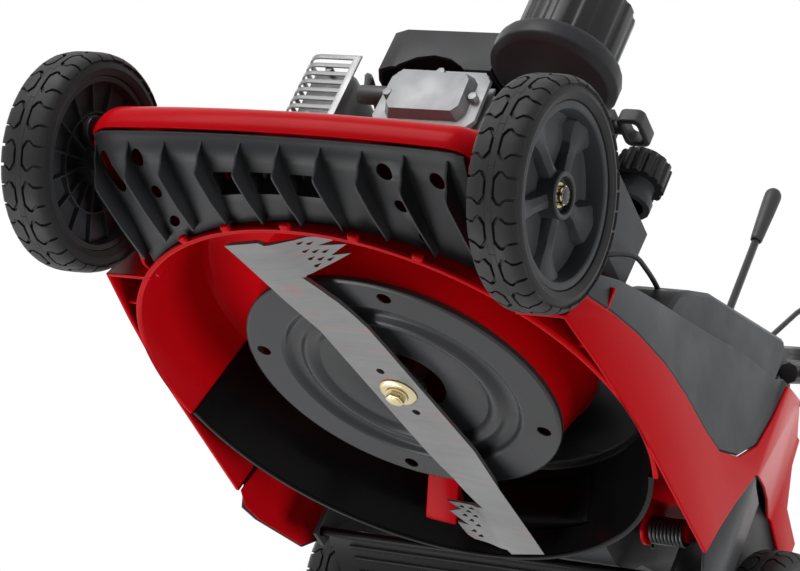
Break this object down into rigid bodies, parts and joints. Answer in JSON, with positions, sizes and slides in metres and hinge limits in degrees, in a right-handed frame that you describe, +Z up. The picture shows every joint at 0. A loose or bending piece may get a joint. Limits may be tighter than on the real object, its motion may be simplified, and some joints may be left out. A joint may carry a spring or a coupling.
{
  "type": "walk-behind petrol lawn mower",
  "caption": "Walk-behind rotary lawn mower: cast deck with finned front baffle, blade, vertical-shaft engine, height-adjusted wheels, rear discharge and folding handle.",
  "frame": {"origin": "centre of the bounding box on the ground", "axes": "+Z up, -Y the way the mower drives, +X the operator's left"},
  "size_m": [0.524, 1.5488, 1.0079],
  "materials": {
    "red_paint": "gloss red paint on a die cast shell",
    "black_plastic": "satin",
    "gloss_plastic": "gloss",
    "grey_plastic": "satin",
    "tyre_rubber": "matt",
    "black_paint": "gloss",
    "handle_paint": "gloss black paint on tube",
    "blade_steel": "bare pressed steel",
    "zinc": "yellow zinc plating",
    "cast_metal": "satin",
    "guard_metal": "satin",
    "bright_steel": "bright",
    "soft_rubber": "matt",
    "filter_paper": "pleated"
  },
  "bodies": {
    "chassis": {"deck_shell": "red_paint", "front_baffle": "black_plastic", "chamber_liner": "gloss_plastic", "discharge_tunnel": "black_plastic", "rear_frame": "black_paint", "shield_spring": "bright_steel", "arch_cover_left": "black_plastic", "arch_cover_right": "black_plastic", "side_cover_left": "grey_plastic", "side_cover_right": "grey_plastic", "lever_console": "grey_plastic", "mount_disc": "black_paint", "drive_belt": "soft_rubber", "gearbox": "cast_metal", "crankcase": "cast_metal", "cylinder": "cast_metal", "valve_cover": "cast_metal", "fan_shroud": "black_plastic", "recoil_housing": "black_plastic", "muffler": "bright_steel", "muffler_guard": "guard_metal", "plug_boot": "soft_rubber", "carburettor": "cast_metal", "air_filter_base": "black_plastic", "air_filter_element": "filter_paper", "fuel_tank": "grey_plastic", "control_cable": "soft_rubber"},
    "front_wheel_left": {"front_left_tyre": "tyre_rubber", "front_left_rim": "grey_plastic"},
    "front_wheel_right": {"front_right_tyre": "tyre_rubber", "front_right_rim": "grey_plastic"},
    "rear_wheel_left": {"rear_left_tyre": "tyre_rubber", "rear_left_rim": "grey_plastic"},
    "rear_wheel_right": {"rear_right_tyre": "tyre_rubber", "rear_right_rim": "grey_plastic"},
    "front_link_left": {"front_arm_left": "black_paint"},
    "front_link_right": {"front_arm_right": "black_paint"},
    "rear_link_left": {"rear_arm_left": "black_paint"},
    "height_lever": {"rear_arm_right": "black_paint"},
    "rotor": {"blade": "blade_steel", "blade_washer": "zinc", "blade_bolt": "zinc", "crankshaft": "bright_steel", "flywheel": "cast_metal"},
    "axle_shaft": {"rear_shaft": "bright_steel"},
    "starter": {"starter_grip": "soft_rubber"},
    "tank_cap": {"fuel_cap": "black_plastic"},
    "oil_stick": {"dipstick": "black_plastic"},
    "filter_lid": {"air_filter_cover": "black_plastic"},
    "mulch_lever": {"discharge_lever": "bright_steel", "lever_grip": "soft_rubber"},
    "mulch_door": {"discharge_door": "gloss_plastic"},
    "rear_flap": {"rear_door": "black_plastic"},
    "ground_shield": {"trail_shield": "gloss_plastic"},
    "lower_bar": {"lower_handle": "handle_paint"},
    "upper_bar": {"upper_handle": "handle_paint"},
    "bail": {"bail_bar": "bright_steel"},
    "drive_bail": {"drive_bar": "bright_steel"},
    "knob_left": {"fold_knob_left": "black_plastic"},
    "knob_right": {"fold_knob_right": "black_plastic"}
  },
  "joints": [
    {"name": "height_lever_turn", "type": "hinge", "parent": "chassis", "child": "height_lever", "pos_m": [-0.2037, -0.00089, 0.10104], "axis": [1, 0, 0], "range_deg": [-24, 24]},
    {"name": "rear_left_height", "type": "hinge", "parent": "chassis", "child": "rear_link_left", "pos_m": [0.2037, -0.00089, 0.10104], "axis": [1, 0, 0], "range_deg": [-24, 24]},
    {"name": "front_left_height", "type": "hinge", "parent": "chassis", "child": "front_link_left", "pos_m": [0.201, -0.72089, 0.10104], "axis": [1, 0, 0], "range_deg": [-24, 24]},
    {"name": "front_right_height", "type": "hinge", "parent": "chassis", "child": "front_link_right", "pos_m": [-0.201, -0.72089, 0.10104], "axis": [1, 0, 0], "range_deg": [-24, 24]},
    {"name": "front_left_roll", "type": "hinge", "parent": "front_link_left", "child": "front_wheel_left", "pos_m": [0.236, -0.67289, 0.10104], "axis": [1, 0, 0], "continuous": true},
    {"name": "front_right_roll", "type": "hinge", "parent": "front_link_right", "child": "front_wheel_right", "pos_m": [-0.236, -0.67289, 0.10104], "axis": [1, 0, 0], "continuous": true},
    {"name": "rear_left_roll", "type": "hinge", "parent": "rear_link_left", "child": "rear_wheel_left", "pos_m": [0.236, 0.04711, 0.10104], "axis": [1, 0, 0], "continuous": true},
    {"name": "rear_right_roll", "type": "hinge", "parent": "height_lever", "child": "rear_wheel_right", "pos_m": [-0.236, 0.04711, 0.10104], "axis": [1, 0, 0], "continuous": true},
    {"name": "rotor_spin", "type": "hinge", "parent": "chassis", "child": "rotor", "pos_m": [0, -0.40289, 0.066], "axis": [0, 0, 1], "continuous": true},
    {"name": "axle_shaft_spin", "type": "hinge", "parent": "chassis", "child": "axle_shaft", "pos_m": [0, -0.00089, 0.10104], "axis": [1, 0, 0], "continuous": true},
    {"name": "starter_pull", "type": "slide", "parent": "chassis", "child": "starter", "axis": [1, 0, 0], "range_m": [0, 0.45], "stiffness_N_per_m": 12, "springref_m": -0.05},
    {"name": "tank_cap_turn", "type": "hinge", "parent": "chassis", "child": "tank_cap", "pos_m": [0.166, -0.42489, 0.3115], "axis": [0, 0, 1], "range_deg": [0, 120]},
    {"name": "oil_stick_lift", "type": "slide", "parent": "chassis", "child": "oil_stick", "axis": [0, 0, 1], "range_m": [0, 0.07]},
    {"name": "filter_lid_lift", "type": "slide", "parent": "chassis", "child": "filter_lid", "axis": [0, 0, 1], "range_m": [0, 0.09]},
    {"name": "mulch_lever_tilt", "type": "hinge", "parent": "chassis", "child": "mulch_lever", "pos_m": [0.205, -0.23689, 0.2565], "axis": [1, 0, 0], "range_deg": [-25, 0]},
    {"name": "mulch_door_swing", "type": "hinge", "parent": "chassis", "child": "mulch_door", "pos_m": [0, -0.15789, 0.1315], "axis": [1, 0, 0], "range_deg": [-1, 60]},
    {"name": "rear_flap_swing", "type": "hinge", "parent": "chassis", "child": "rear_flap", "pos_m": [0, 0.08461, 0.2495], "axis": [1, 0, 0], "range_deg": [0, 80]},
    {"name": "ground_shield_swing", "type": "hinge", "parent": "chassis", "child": "ground_shield", "pos_m": [0, -0.13489, 0.0615], "axis": [1, 0, 0], "range_deg": [0, 22], "stiffness_Nm_per_rad": 0.4, "springref_deg": -28.65},
    {"name": "lower_bar_tilt", "type": "hinge", "parent": "chassis", "child": "lower_bar", "pos_m": [0, -0.07789, 0.3545], "axis": [1, 0, 0], "range_deg": [-10, 10]},
    {"name": "upper_bar_fold", "type": "hinge", "parent": "lower_bar", "child": "upper_bar", "pos_m": [0, 0.24572, 0.58961], "axis": [1, 0, 0], "range_deg": [0, 146]},
    {"name": "bail_squeeze", "type": "hinge", "parent": "upper_bar", "child": "bail", "pos_m": [0, 0.58551, 0.83648], "axis": [1, 0, 0], "range_deg": [-21.5, 0], "stiffness_Nm_per_rad": 1, "springref_deg": 34.38},
    {"name": "drive_squeeze", "type": "hinge", "parent": "upper_bar", "child": "drive_bail", "pos_m": [0, 0.55314, 0.81297], "axis": [1, 0, 0], "range_deg": [0, 19.5], "stiffness_Nm_per_rad": 0.6, "springref_deg": -28.65},
    {"name": "knob_left_turn", "type": "hinge", "parent": "lower_bar", "child": "knob_left", "pos_m": [0.236, 0.24572, 0.58961], "axis": [1, 0, 0], "range_deg": [0, 720]},
    {"name": "knob_right_turn", "type": "hinge", "parent": "lower_bar", "child": "knob_right", "pos_m": [-0.236, 0.24572, 0.58961], "axis": [1, 0, 0], "range_deg": [0, 720]}
  ],
  "couplings": [
    {"joint": "rear_left_height", "follows": "height_lever_turn", "ratio": 1},
    {"joint": "front_left_height", "follows": "height_lever_turn", "ratio": 1},
    {"joint": "front_right_height", "follows": "height_lever_turn", "ratio": 1},
    {"joint": "mulch_door_swing", "follows": "mulch_lever_tilt", "ratio": -2.4}
  ]
}
